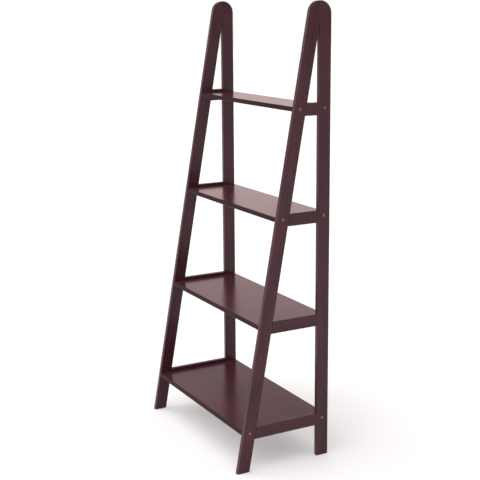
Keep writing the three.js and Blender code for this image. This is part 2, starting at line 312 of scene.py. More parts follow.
@dataclass(frozen=True)
class ZincPlate:
    """Bright zinc plating on turned steel barrel nuts: a cool grey with fine rings from the lathe."""

    light: str = "#C9CBCC"
    dark: str = "#96989A"
    tint_stops: tuple[float, float] = (0.2, 0.8)
    ring_mm: float = 0.5  # real turning marks are finer, drawn coarser so that they show
    detail: float = 2.0
    warp: float = 1.5
    relief_mm: float = 0.02
    roughness: float = 0.32

    def material(self) -> bpy.types.Material:
        """Builds the material on Object coordinates, with rings stacked along Z."""
        material, tree = new_material("bright_zinc_plate")
        place = add_node(tree, "TexCoord", {}, {}, "Object")
        scale = WAVE_PERIOD / (self.ring_mm * MM)
        inputs = {"Vector": place, "Scale": scale, "Distortion": self.warp, "Detail": self.detail}
        rings = add_node(tree, "TexWave", {"bands_direction": "Z"}, inputs, "Fac")
        tint = add_node(tree, "ValToRGB", stops(self.tint_stops, (self.dark, self.light)), {"Fac": rings})
        bump = add_node(tree, "Bump", {}, {"Distance": self.relief_mm * MM, "Height": rings})
        look = {"Base Color": tint, "Metallic": 1.0, "Roughness": self.roughness, "Normal": bump}
        shader = add_node(tree, "BsdfPrincipled", {}, look)
        add_node(tree, "OutputMaterial", {}, {"Surface": shader})
        return material


@dataclass(frozen=True)
class BeechRod:
    """Plain beech dowel rod, sawn and unfinished: pale tan with short darker flecks."""

    pale: str = "#D9BC92"
    fleck: str = "#A97F55"
    tint_stops: tuple[float, float] = (0.38, 0.56)
    flecks: Figure = Figure(3.0, 0.9, 4.0)
    roughness: float = 0.75

    def material(self) -> bpy.types.Material:
        """Builds the material on Object coordinates, with the flecks drawn out along X."""
        material, tree = new_material("beech_dowel_rod")
        flecks = self.flecks.add(tree, add_node(tree, "TexCoord", {}, {}, "Object"))
        tint = add_node(tree, "ValToRGB", stops(self.tint_stops, (self.fleck, self.pale)), {"Fac": flecks})
        shader = add_node(tree, "BsdfPrincipled", {}, {"Base Color": tint, "Roughness": self.roughness})
        add_node(tree, "OutputMaterial", {}, {"Surface": shader})
        return material


@dataclass(frozen=True)
class PaleFloor:
    """A smooth painted studio floor, pale and faintly uneven, which shows white under the studio's lights."""

    light: str = "#EDEFEF"
    dark: str = "#E9EBEB"
    patch_m: float = 0.8
    roughness: float = 0.85
    gloss: float = 0.2

    def material(self) -> bpy.types.Material:
        """Builds the material on Object coordinates."""
        material, tree = new_material("painted_studio_floor")
        place = add_node(tree, "TexCoord", {}, {}, "Object")
        patches = add_node(tree, "TexNoise", {}, {"Vector": place, "Scale": 1 / self.patch_m}, "Fac")
        tint = add_node(tree, "ValToRGB", stops(NOISE_SPAN, (self.dark, self.light)), {"Fac": patches})
        look = {"Base Color": tint, "Roughness": self.roughness, "Specular IOR Level": self.gloss}
        shader = add_node(tree, "BsdfPrincipled", {}, look)
        add_node(tree, "OutputMaterial", {}, {"Surface": shader})
        return material


# ---- Surfaces ----


@dataclass
class Shell:
    """A surface as whole arrays.

    Attributes:
        points: Vertex places, n by 3.
        quads: Vertex numbers of the four-cornered faces.
        triangles: Vertex numbers of the three-cornered faces.
        normals: Vertex normals, n by 3, or None to take them from the faces.
        grain: Place along, across and through the grain, n by 3, or None.
        wear: How far each vertex is rubbed, from 0 to 1, or None.
        edge: How far each vertex belongs to a stained edge, from 0 to 1, or None.
    """

    points: np.ndarray
    quads: np.ndarray
    triangles: np.ndarray = field(default_factory=lambda: np.zeros((0, 3), int))
    normals: np.ndarray | None = None
    grain: np.ndarray | None = None
    wear: np.ndarray | None = None
    edge: np.ndarray | None = None

    def faced(self, faces: np.ndarray) -> np.ndarray:
        """Turns faces so that they look the way their corners' normals point.

        A face's own normal is the cross product of its diagonals, or of two edges of a triangle. Where its
        dot product with the sum of the corner normals is negative, the corners are taken in reverse.

        Args:
            faces: Vertex numbers, one face a row.

        Returns:
            The same faces, each turned outwards.
        """
        if not len(faces):
            return faces
        corners = self.points[faces]
        last = corners[:, -1]
        own = np.cross(corners[:, 2] - corners[:, 0], last - corners[:, 1])
        if faces.shape[1] == 3:
            own = np.cross(corners[:, 1] - corners[:, 0], corners[:, 2] - corners[:, 0])
        inward = (own * self.normals[faces].sum(axis=1)).sum(axis=1) < 0
        return np.where(inward[:, None], faces[:, ::-1], faces)

    def to_object(self, name: str) -> bpy.types.Object:
        """Makes a Blender object of the surface.

        Args:
            name: The mesh's name. The object is named after the last attribute, "edge", and numbered.

        Returns:
            The object, linked to the scene, at the origin.
        """
        quads, triangles = self.quads, self.triangles
        if self.normals is not None:
            quads, triangles = self.faced(quads), self.faced(triangles)
        mesh = bpy.data.meshes.new(name)
        mesh.from_pydata(self.points.tolist(), [], quads.tolist() + triangles.tolist())
        mesh.polygons.foreach_set("use_smooth", np.ones(len(mesh.polygons), bool))
        if self.grain is not None:
            attribute = mesh.attributes.new("grain", "FLOAT_VECTOR", "POINT")
            attribute.data.foreach_set("vector", self.grain.astype(np.float32).ravel())
        for name, values in (("wear", self.wear), ("edge", self.edge)):
            if values is not None:
                attribute = mesh.attributes.new(name, "FLOAT", "POINT")
                attribute.data.foreach_set("value", values.astype(np.float32))
        if self.normals is not None:
            mesh.normals_split_custom_set_from_vertices(self.normals.tolist())
        piece = bpy.data.objects.new(name, mesh)
        bpy.context.scene.collection.objects.link(piece)
        return piece


def ring_quads(rings: np.ndarray) -> np.ndarray:
    """Joins closed rings of vertices into quads.

    Args:
        rings: Vertex numbers, one ring a row.

    Returns:
        One quad for each pair of neighbours on each pair of neighbouring rings.
    """
    after = np.roll(rings, -1, axis=1)
    corners = [rings[:-1], after[:-1], after[1:], rings[1:]]
    return np.stack(corners, axis=-1).reshape(-1, 4)


def border(rows: int, columns: int) -> tuple[np.ndarray, np.ndarray]:
    """Walks once round the edge of a grid.

    Args:
        rows: How many rows the grid has.
        columns: How many columns it has.

    Returns:
        The row numbers and the column numbers of the edge's points, in order.
    """
    up, across = np.arange(rows), np.arange(columns)
    row = np.concatenate([up, np.full(columns - 2, rows - 1), up[::-1], np.zeros(columns - 2, int)])
    column = np.concatenate([np.zeros(rows, int), across[1:-1], np.full(rows, columns - 1), across[-2:0:-1]])
    return row, column


def grid_quads(grid: np.ndarray) -> np.ndarray:
    """Makes quads over a grid of vertex numbers, rows less one by columns less one by 4."""
    return np.stack([grid[:-1, :-1], grid[1:, :-1], grid[1:, 1:], grid[:-1, 1:]], axis=-1)


def lifted(flat: np.ndarray, height: float) -> np.ndarray:
    """Gives points or vectors of the plane a height."""
    return np.concatenate([flat, np.full(flat.shape[:-1] + (1,), height)], axis=-1)


@dataclass
class Gathered:
    """Vertices gathered in batches, with their normals and their wear."""

    points: np.ndarray = field(default_factory=lambda: np.zeros((0, 3)))
    normals: np.ndarray = field(default_factory=lambda: np.zeros((0, 3)))
    wear: np.ndarray = field(default_factory=lambda: np.zeros(0))

    def add(self, points: np.ndarray, normals: np.ndarray, wear: Any = 0.0) -> np.ndarray:
        """Adds a batch.

        Args:
            points: The vertices, in an array of any shape by 3.
            normals: Their normals, or one for all of them.
            wear: How far they are rubbed, or one value for all of them.

        Returns:
            The numbers of the new vertices, in the batch's shape.
        """
        shape = points.shape[:-1]
        first = len(self.points)
        self.points = np.concatenate([self.points, points.reshape(-1, 3)])
        self.normals = np.concatenate([self.normals, np.broadcast_to(normals, points.shape).reshape(-1, 3)])
        self.wear = np.concatenate([self.wear, np.broadcast_to(wear, shape).ravel()])
        return np.arange(first, len(self.points)).reshape(shape)


@dataclass(frozen=True)
class Bore:
    """A round hole sunk from a board's outer face.

    Attributes:
        centre: Where its axis meets the face's plane.
        steps: Radius and depth of each ring going in, starting at the rim.
        through: Whether it comes out on the other face, or else ends in a flat floor.
        blends: How far each ring between the grid and the rim has come to the rim.
        room: The room left in the grid for the bore, as a share of its rim's radius.
    """

    centre: tuple[float, float]
    steps: tuple[tuple[float, float], ...]
    through: bool
    blends: tuple[float, ...] = (0.35, 0.7)
    room: float = 1.25

    def normals(self, number: int, spoke: np.ndarray) -> np.ndarray:
        """Finds the normals of one ring.

        The bore's profile runs from ring to ring as radius and depth. Its normal stands square to the mean of
        the runs on both sides, leaning to the axis by the depth gained and out of the face by the radius
        lost.

        Args:
            number: Which of the steps.
            spoke: Unit vectors from the axis to the ring's points.

        Returns:
            One normal for each point of the ring.
        """
        profile = np.array(self.steps)
        before = profile[max(number - 1, 0)]
        after = profile[min(number + 1, len(profile) - 1)]
        lost, gained = before[0] - after[0], after[1] - before[1]
        length = math.hypot(lost, gained)
        return lifted(-spoke * gained / length, lost / length)


@dataclass
class Board:
    """A board as a grid over its face with eased edges and bores, in its own plane.

    Attributes:
        face: Points over the face, rows by columns by 2. The grid's edge is the board's full outline.
        thickness: From the inner face to the outer face.
        ends: How far the edges of the first and last row are eased.
        sides: How far the edges of the first and last column are eased, rows by 2.
        fibre: Unit vector in the plane along which the grain runs.
        plank: A number that gives the board its own stretch of figure.
        bores: Holes from the outer face, each inside a block of the grid.
        edge: How much of the dark edge stain its edges show.
        rolls: Steps in each eased edge.
        smooth_above: The cosine between two edges' normals over which the outline counts as smooth.
    """

    face: np.ndarray
    thickness: float
    ends: tuple[float, float]
    sides: np.ndarray
    fibre: tuple[float, float]
    plank: int
    bores: list[Bore] = field(default_factory=list)
    edge: float = 0.0
    rolls: int = 4
    smooth_above: float = 0.9

    def outline(self) -> tuple[np.ndarray, np.ndarray, np.ndarray, np.ndarray]:
        """Finds the outline, and at each point the step that comes clear of both its edges' easings.

        Where two edges with inward normals m and n meet, eased by a and b, the step is the sum of m times
        (a - bc) and n times (b - ac), divided by 1 - c squared, where c is the cosine between m and n. Along
        a smooth run, where c is close to 1, it is the mean easing times the sum of the normals over 1 + c.

        Returns:
            The rows and columns of the points, their steps, and how tall the roll is at each.
        """
        rows, columns = self.face.shape[:2]
        row, column = border(rows, columns)
        points = self.face[row, column]
        following = np.roll(points, -1, axis=0)
        edge = following - points
        unit = edge / np.linalg.norm(edge, axis=1)[:, None]
        turn = np.sign(np.sum(points[:, 0] * following[:, 1] - points[:, 1] * following[:, 0]))
        after = turn * np.stack([-unit[:, 1], unit[:, 0]], axis=1)
        before = np.roll(after, 1, axis=0)
        on_side = (column == 0) | (column == columns - 1)
        along_side = self.sides[row, (column > 0).astype(int)]
        along_end = np.array(self.ends)[(row > 0).astype(int)]
        eased = np.where(on_side, along_side, along_end)
        eased_before, eased_after = eased.copy(), eased.copy()
        ends_here = [0, rows + columns - 2]
        ends_next = [rows - 1, 2 * rows + columns - 3]
        eased_before[ends_here] = along_end[ends_here]
        eased_after[ends_next] = along_end[ends_next]
        cosine = np.sum(before * after, axis=1)
        smooth = (eased_before + eased_after) / 2 / (1 + cosine)
        corner = cosine < self.smooth_above
        square = np.where(corner, 1 - cosine**2, 1.0)
        pull_before = np.where(corner, (eased_before - eased_after * cosine) / square, smooth)
        pull_after = np.where(corner, (eased_after - eased_before * cosine) / square, smooth)
        step = before * pull_before[:, None] + after * pull_after[:, None]
        return row, column, step, np.maximum(eased_before, eased_after)

    def rolled(self, store: Gathered) -> tuple[np.ndarray, np.ndarray]:
        """Adds the eased edges and the walls between them, as rings from the inner face to the outer.

        A ring at angle a of the roll lies e(1 - cos a) inside the outline and e(1 - sin a) below the face,
        for an easing of e, with a from 0 at the edge to a right angle on the face.

        Args:
            store: Where the vertices go.

        Returns:
            The rings' vertex numbers, one ring a row, and how much edge stain each vertex shows.
        """
        row, column, step, eased = self.outline()
        angle = np.linspace(0, RIGHT_ANGLE, self.rolls + 1)[:, None]
        height = self.thickness / 2 - eased * (1 - np.sin(angle))
        ring = self.face[row, column] + (1 - np.cos(angle))[..., None] * step
        outward = -step / np.linalg.norm(step, axis=1)[:, None]
        lean = np.broadcast_to(np.sin(angle), height.shape)[..., None]
        upper = np.concatenate([ring, height[..., None]], axis=-1)
        normal = np.concatenate([np.cos(angle)[..., None] * outward, lean], axis=-1)
        rubbed = np.broadcast_to(np.sin(2 * angle), height.shape)
        stain = np.broadcast_to(self.edge * np.cos(angle), height.shape)
        below, normal_below = (np.array([1, 1, -1]) * part[::-1] for part in (upper, normal))
        rings = store.add(
            np.concatenate([below, upper]),
            np.concatenate([normal_below, normal]),
            np.concatenate([rubbed[::-1], rubbed]),
        )
        return rings, np.concatenate([stain[::-1], stain]).ravel()

    def faces(self, store: Gathered, rings: np.ndarray) -> dict[int, np.ndarray]:
        """Adds the two faces' grids, their rows drawn in between the innermost rings.

        Args:
            store: Where the vertices go.
            rings: The rings' vertex numbers from the inner face to the outer.

        Returns:
            Each face's grid of vertex numbers, with 1 for the outer face and -1 for the inner.
        """
        rows, columns = self.face.shape[:2]
        row, column = border(rows, columns)
        clear = self.face.copy()
        clear[row, column] = store.points[rings[-1], :2]
        share = np.linalg.norm(self.face - self.face[:, :1], axis=-1)
        share = (share / share[:, -1:])[1:-1, 1:-1, None]
        inner = clear[1:-1, :1] + (clear[1:-1, -1:] - clear[1:-1, :1]) * share
        grids = {}
        for way, edge_ring in ((1, rings[-1]), (-1, rings[0])):
            grid = np.zeros((rows, columns), int)
            grid[1:-1, 1:-1] = store.add(lifted(inner, way * self.thickness / 2), np.array([0, 0, way]))
            grid[row, column] = edge_ring
            grids[way] = grid
        return grids

    def sink(
        self, store: Gathered, bore: Bore, block_edge: dict[int, np.ndarray]
    ) -> tuple[np.ndarray, np.ndarray]:
        """Adds a bore's rings, which blend evenly from the edge of its block to its rim and then go down.

        Args:
            store: Where the vertices go.
            bore: The bore.
            block_edge: The vertex numbers round its block, on each face.

        Returns:
            The bore's quads and its triangles.
        """
        half = self.thickness / 2
        start = store.points[block_edge[1], :2]
        spoke = start - bore.centre
        spoke /= np.linalg.norm(spoke, axis=1)[:, None]
        rim = bore.centre + bore.steps[0][0] * spoke
        up = np.array([0, 0, 1])
        loops = [block_edge[1]]
        loops += [store.add(lifted((1 - share) * start + share * rim, half), up) for share in bore.blends]
        for number, (radius, depth) in enumerate(bore.steps):
            ring = lifted(bore.centre + radius * spoke, half - depth)
            loops.append(store.add(ring, bore.normals(number, spoke)))
        last_radius, last_depth = bore.steps[-1]
        if bore.through:
            mouth = lifted(bore.centre + last_radius * spoke, -half)
            loops += [store.add(mouth, normal) for normal in (lifted(-spoke, 0), -up)]
            return ring_quads(np.stack([*loops, block_edge[-1]])), np.zeros((0, 3), int)
        middle = store.add(np.array([[*bore.centre, half - last_depth]]), up)
        around = loops[-1]
        triangles = np.stack([around, np.roll(around, -1), np.full(len(around), middle[0])], axis=1)
        return ring_quads(np.stack(loops)), triangles

    def shell(self) -> Shell:
        """Builds the closed surface: the rolled edges, a grid over each face, and the bores in their blocks.

        Returns:
            The surface, with x and y in the board's plane and z outwards from its middle.
        """
        store = Gathered()
        rings, stain = self.rolled(store)
        grids = self.faces(store, rings)
        kept = {way: np.ones(np.array(grid.shape) - 1, bool) for way, grid in grids.items()}
        quads, triangles = [ring_quads(rings)], [np.zeros((0, 3), int)]
        for bore in self.bores:
            low, high, near, far = self.block(bore)
            row, column = border(high - low + 1, far - near + 1)
            block_edge = {way: grid[low + row, near + column] for way, grid in grids.items()}
            kept[1][low:high, near:far] = False
            kept[-1][low:high, near:far] &= not bore.through
            parts = self.sink(store, bore, block_edge)
            quads.append(parts[0])
            triangles.append(parts[1])
        quads += [grid_quads(grid)[kept[way]] for way, grid in grids.items()]
        edge = np.zeros(len(store.points))
        edge[: rings.size] = stain
        return Shell(
            points=store.points,
            quads=np.concatenate(quads),
            triangles=np.concatenate(triangles),
            normals=store.normals,
            grain=self.grain(store.points),
            wear=store.wear,
            edge=edge,
        )

    def block(self, bore: Bore) -> tuple[int, int, int, int]:
        """Finds the block of the grid that a bore takes.

        Args:
            bore: The bore.

        Returns:
            The first and last row and the first and last column of the smallest block with room for the rim.
        """
        away = np.abs(self.face - np.array(bore.centre)).max(axis=-1)
        inside = np.argwhere(away < bore.steps[0][0] * bore.room)
        low, near = inside.min(axis=0) - 1
        high, far = inside.max(axis=0) + 1
        return int(low), int(high), int(near), int(far)

    def grain(self, points: np.ndarray) -> np.ndarray:
        """Measures places along, across and through the grain, on this plank's own stretch of figure."""
        along = np.array([self.fibre[0], self.fibre[1], 0])
        across = np.array([-self.fibre[1], self.fibre[0], 0])
        axes = np.stack([along, across, [0, 0, 1]], axis=1)
        return points @ axes + self.plank * PLANK_STEP


@dataclass(frozen=True)
class Stand:
    """Where a board's plane stands in the object.

    Attributes:
        origin: The place of the plane's own origin at the middle of the board's thickness.
        axes: The object's directions of the plane's x, y and outward z, one a row.
    """

    origin: tuple[float, float, float]
    axes: tuple[tuple[float, float, float], ...]

    def carry(self, shell: Shell) -> Shell:
        """Moves a shell from its plane to its place in the object."""
        axes = np.array(self.axes)
        shell.points = shell.points @ axes + np.array(self.origin)
        if shell.normals is not None:
            shell.normals = shell.normals @ axes
        return shell


def stations(anchors: list[float], spacing: float) -> np.ndarray:
    """Fills the stretches between anchors with even steps.

    Args:
        anchors: Places that must be stations, in any order.
        spacing: The longest step wanted.

    Returns:
        All stations in rising order.
    """
    fixed = np.unique(np.round(anchors, STATION_DECIMALS))
    counts = np.maximum(1, np.ceil(np.diff(fixed) / spacing - STATION_SLACK)).astype(int)
    spans = [np.linspace(a, b, n + 1)[:-1] for a, b, n in zip(fixed, fixed[1:], counts)]
    return np.concatenate(spans + [fixed[-1:]])


# ---- The shelf's sizes ----


@dataclass(frozen=True)
class Plan:
    """The sizes that the pieces share, in metres. Forward distances run from the back of the posts."""

    width: float
    depth: float
    height: float
    stock: float = 16 * MM
    post_width: float = 44 * MM
    leg_width: float = 44 * MM
    head_radius: float = 41 * MM
    eased: float = 1.8 * MM
    joint_eased: float = 0.3 * MM
    cut_eased: float = 0.5 * MM
    seam: float = 0.3 * MM
    shelf_setback: float = 1 * MM

    @classmethod
    def from_frame(cls) -> "Plan":
        """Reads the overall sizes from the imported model."""
        low, high = CAD_BOX
        return cls(width=high[0] - low[0], depth=high[1] - low[1], height=high[2] - low[2])

    @property
    def back(self) -> float:
        """The Y of the back of the posts."""
        return CAD_BOX[1][1]

    @property
    def head_height(self) -> float:
        """The height of the heads' centre."""
        return self.height - self.head_radius

    @property
    def lean(self) -> float:
        """The angle of the front legs from upright, from the tangent that the toe throws to the head."""
        run = self.depth - self.head_radius
        reach = math.hypot(run, self.head_height)
        return math.atan2(run, self.head_height) - math.asin(self.head_radius / reach)

    @property
    def leg_run(self) -> float:
        """The leg's width along the floor."""
        return self.leg_width / math.cos(self.lean)

    def leg_front(self, height: Any) -> Any:
        """How far forward the leg's front face lies at a height."""
        return self.depth - math.tan(self.lean) * height

    def leg_back(self, height: Any) -> Any:
        """How far forward the leg's rear face lies at a height."""
        return self.leg_front(height) - self.leg_run

    @property
    def crotch(self) -> float:
        """The height at which the leg's rear face meets the post."""
        return (self.depth - self.leg_run - self.post_width) / math.tan(self.lean)

    def frame_stand(self, side: Side) -> Stand:
        """The plane of a side frame: x forward, y up and z out of the shelf."""
        middle = side.value * (self.width - self.stock) / 2
        return Stand((middle, self.back, 0.0), ((0, -1, 0), (0, 0, 1), (side.value, 0, 0)))

    def site(self, node: str) -> tuple[float, float]:
        """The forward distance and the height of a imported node's middle."""
        low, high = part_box(node)
        return (self.back - (low[1] + high[1]) / 2, (low[2] + high[2]) / 2)


# ---- Pieces ----


def finish(piece: bpy.types.Object, material: bpy.types.Material, replaced: str) -> None:
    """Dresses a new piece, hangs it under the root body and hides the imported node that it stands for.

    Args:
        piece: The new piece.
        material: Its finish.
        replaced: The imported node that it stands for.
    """
    piece.data.materials.append(material)
    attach(piece, "root")
    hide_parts(replaced)
    LOG.info("%s: %d faces", piece.name, len(piece.data.polygons))


@dataclass
class SideFrame:
    """One A-shaped side frame: a rear post, a leaning front leg and a rail at each shelf."""

    plan: Plan
    side: Side
    wood: bpy.types.Material
    first_plank: int
    rim_radius: float = 5.9 * MM
    seat_radius: float = 5.5 * MM
    shank_radius: float = 3.5 * MM
    seat_depth: float = 3.9 * MM
    block: float = 3.4 * MM  # grid spacing round a bore
    spacing: float = 60 * MM
    tightest: float = 7.5  # the width, in grid spacings, below which the lines close up
    margin_share: float = 0.4  # of the way to the next line, at the most, for the first line inside an edge
    head_rows: int = 16
    tip_room: float = 1.5  # between the glue line's tip and the row below it, in easings
    crown_run: float = 3 * MM  # the leg's share of the crown, past the glue line
    groove: float = 20 * MM  # how far the groove runs up from the crotch
    groove_steps: tuple[float, ...] = (-0.2, 0.0, 0.25, 0.5, 0.75, 1.0)  # shares of it
    rim_steps: tuple[float, float] = (0.3, 1.5)  # of a counterbore's broken rim, as shares of its width
    corner_break: float = 0.1 * MM  # at the bottom of a counterbore
    rail_ends: tuple[float, float] = (0.02, 0.98)  # where a rail's grid is drawn in near its shoulders
    rail_step: float = 0.12  # the longest step along a rail, as a share of its length

    def counterbore(self, node: str) -> Bore:
        """The stepped hole that a bolt sits in, with its rim and its corners broken."""
        rim, seat = self.rim_radius, self.seat_radius
        broken = rim - seat
        curve, wall = self.rim_steps
        soft = self.corner_break
        steps = (
            (rim, 0.0),
            (seat + curve * broken, curve * broken),
            (seat, broken),
            (seat, wall * broken),
            (seat, self.seat_depth - soft),
            (seat - soft, self.seat_depth),
            (self.shank_radius + soft, self.seat_depth),
            (self.shank_radius, self.seat_depth + soft),
        )
        return Bore(self.plan.site(node), steps, True)

    def bores(self, place: str) -> list[Bore]:
        """The counterbores of the post ("rear") or the leg ("front")."""
        nodes = [f"{level.value}_shelf_bolt_{self.side.word}_{place}" for level in Level if level.bolted]
        return [self.counterbore(node) for node in nodes]

    def heights(self, bores: list[Bore], top: float, anchors: list[float]) -> np.ndarray:
        """Heights of the rows of a post or leg, closer together round each bore."""
        near = [bore.centre[1] + k * self.block for bore in bores for k in BLOCK_LINES]
        foot = 2 * self.plan.cut_eased
        return stations([0.0, foot, *anchors, *near, top], self.spacing)

    def groove_rows(self) -> list[float]:
        """Heights of the rows along the groove that fades out above the crotch."""
        return [self.plan.crotch + share * self.groove for share in self.groove_steps]

    def joint_rows(self, straight: np.ndarray, tip: float) -> np.ndarray:
        """Heights of the rows where they end on the glue line, the last of them at the tip.

        Args:
            straight: Heights of the rows below the head's arc.
            tip: The height of the glue line's upper end.

        Returns:
            The heights of all the rows. In the head they rise evenly and stay clear of the tip's own easing.
        """
        rise = np.linspace(straight[-1], tip - self.tip_room * self.plan.eased, self.head_rows)
        return np.concatenate([straight, rise[1:], [tip]])

    def joint_easing(self, height: np.ndarray) -> np.ndarray:
        """How far the inner edge is eased: fully up to the crotch, then less and less along the groove."""
        plan = self.plan
        share = np.clip((height - plan.crotch) / self.groove, 0, 1)
        return plan.eased + (plan.joint_eased - plan.eased) * share

    def across(self, left: np.ndarray, right: np.ndarray) -> np.ndarray:
        """Lays columns between two edges, with an even block round the middle, where the bores are.

        Args:
            left: The left edge's points, one for each row.
            right: The right edge's points.

        Returns:
            Points as rows by columns by 2, each row a straight blend from left to right.
        """
        span = np.linalg.norm(right - left, axis=1)[:, None]
        inner = 0.5 + BLOCK_LINES * self.block / np.maximum(span, self.tightest * self.block)
        edge = np.zeros((len(left), 1))
        margin = np.minimum(MARGIN / span, self.margin_share * inner[:, :1])
        share = np.concatenate([edge, margin, inner, 1 - margin, edge + 1], axis=1)
        return left[:, None] + (right - left)[:, None] * share[..., None]

    def post(self) -> None:
        """Builds the rear post.

        Its back edge is upright up to the head's centre and then follows the head's arc to the crown. Its
        front edge is upright, free up to the crotch and glued to the leg above it.
        """
        plan = self.plan
        bores = self.bores("rear")
        straight = self.heights(bores, plan.head_height, self.groove_rows())
        turn = np.linspace(0, RIGHT_ANGLE, self.head_rows + 1)[1:]
        rise = plan.head_height + plan.head_radius * np.sin(turn)
        back = np.concatenate([0 * straight, plan.head_radius * (1 - np.cos(turn))])
        height = np.concatenate([straight, rise])
        left = np.stack([back, height], axis=1)
        tip = plan.head_height + math.sqrt(plan.head_radius**2 - (plan.post_width - plan.head_radius) ** 2)
        right = np.stack([np.full(len(height), plan.post_width), self.joint_rows(straight, tip)], axis=1)
        sides = np.stack([np.full(len(height), plan.eased), self.joint_easing(right[:, 1])], axis=1)
        face = self.across(left, right)
        ends = (plan.cut_eased, plan.eased)
        board = Board(face, plan.stock, ends, sides, (0, 1), self.first_plank, bores)
        self.raise_board(board, f"{self.side.word}_rear_post")

    def leg(self) -> None:
        """Builds the front leg.

        Its front edge leans back to the head and then follows the head's arc nearly to the crown. Its rear
        edge is parallel to it up to the crotch and then stands upright along the glue line.
        """
        plan = self.plan
        bores = self.bores("front")
        tangent = plan.head_height + plan.head_radius * math.sin(plan.lean)
        glue = plan.post_width + plan.seam
        straight = self.heights(bores, tangent, self.groove_rows())
        last = math.acos((glue + self.crown_run - plan.head_radius) / plan.head_radius)
        turn = np.linspace(plan.lean, last, self.head_rows + 1)[1:]
        arc = plan.head_radius * np.stack([1 + np.cos(turn), np.sin(turn)], axis=1)
        arc[:, 1] += plan.head_height
        front = np.concatenate([np.stack([plan.leg_front(straight), straight], axis=1), arc])
        tip = plan.head_height + math.sqrt(plan.head_radius**2 - (glue - plan.head_radius) ** 2)
        height = self.joint_rows(straight, tip)
        back = np.stack([np.maximum(plan.leg_back(height), glue), height], axis=1)
        sides = np.stack([self.joint_easing(height), np.full(len(height), plan.eased)], axis=1)
        face = self.across(back, front)
        ends = (plan.cut_eased, plan.eased)
        along = (-math.sin(plan.lean), math.cos(plan.lean))
        board = Board(face, plan.stock, ends, sides, along, self.first_plank + 1, bores)
        self.raise_board(board, f"{self.side.word}_front_leg")

    def rail(self, level: Level) -> None:
        """Builds a rail between its shoulders, one square to the post and one cut to the leg's lean."""
        plan = self.plan
        node = f"{self.side.word}_{level.value}_rail"
        low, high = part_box(node)
        bottom, top = low[2], high[2]
        heights = np.array([bottom, bottom + MARGIN, (bottom + top) / 2, top - MARGIN, top])
        back = plan.post_width + plan.seam
        front = plan.leg_back(heights) - plan.seam / math.cos(plan.lean)
        share = stations([0, *self.rail_ends, 1], self.rail_step)[:, None]
        forward = back + (front - back) * share
        face = np.stack([forward, np.broadcast_to(heights, forward.shape)], axis=-1)
        sides = np.full((len(share), 2), plan.eased)
        plank = self.first_plank + 2 + list(Level).index(level)
        board = Board(face, plan.stock, (plan.joint_eased,) * 2, sides, (1, 0), plank)
        self.raise_board(board, node)

    def raise_board(self, board: Board, node: str) -> None:
        """Stands a board up in this frame's plane and dresses it."""
        shell = self.plan.frame_stand(self.side).carry(board.shell())
        finish(shell.to_object(f"{node}_lacquered"), self.wood, node)

    def build(self) -> None:
        """Builds the post, the leg and the rails."""
        self.post()
        self.leg()
        for level in Level:
            self.rail(level)


@dataclass
class Shelf:
    """One shelf, with blind holes for its barrel nuts in the underside."""

    plan: Plan
    level: Level
    wood: bpy.types.Material
    plank: int
    eased: float = 2 * MM
    nut_hole: float = 5 * MM
    nut_depth: float = 12.4 * MM
    rim_break: float = 0.3 * MM
    corner_break: float = 0.1 * MM
    block: float = 3.2 * MM  # grid spacing round a bore
    spacing: float = 55 * MM
    end_margin: float = 1.2 * MM  # from the shelf's end to the first line of its grid

    def nut_bore(self, node: str) -> Bore:
        """The blind hole round a barrel nut, with its rim broken."""
        low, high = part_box(node)
        forward, _ = self.plan.site(node)
        radius = self.nut_hole
        steps = (
            (radius + self.rim_break, 0.0),
            (radius, self.rim_break),
            (radius, 2 * self.rim_break),
            (radius, self.nut_depth - self.corner_break),
            (radius - self.corner_break, self.nut_depth),
        )
        return Bore(((low[0] + high[0]) / 2, forward), steps, False)

    def build(self) -> None:
        """Builds the shelf.

        Its rear edge is upright and its front edge leans with the legs: every forward distance is stretched
        in step with depth, so that it grows from the top face to the underside by the tangent of the lean.
        """
        plan = self.plan
        node = f"{self.level.value}_shelf"
        low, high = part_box(node)
        thickness = high[2] - low[2]
        middle = (low[2] + high[2]) / 2
        front = plan.leg_front(middle) - plan.shelf_setback
        names = [f"{node}_nut_{side.word}_{place}" for side in Side for place in ENDS]
        bores = [self.nut_bore(name) for name in names] if self.level.bolted else []
        around_x, around_y = (
            [bore.centre[axis] + k for bore in bores for k in BLOCK_LINES * self.block] for axis in (0, 1)
        )
        ends = (low[0] + self.end_margin, high[0] - self.end_margin)
        x = stations([low[0], *ends, *around_x, high[0]], self.spacing)
        y = stations([0.0, MARGIN, *around_y, front - MARGIN, front], self.spacing)
        face = np.stack(np.meshgrid(x, y, indexing="ij"), axis=-1)
        sides = np.full((len(x), 2), self.eased)
        board = Board(face, thickness, (plan.joint_eased,) * 2, sides, (1, 0), self.plank, bores, edge=1.0)
        shell = board.shell()
        shell.points[:, 1] *= 1 + math.tan(plan.lean) * shell.points[:, 2] / front
        stand = Stand((0.0, plan.back, middle), ((1, 0, 0), (0, -1, 0), (0, 0, -1)))
        finish(stand.carry(shell).to_object(f"{node}_lacquered"), self.wood, node)


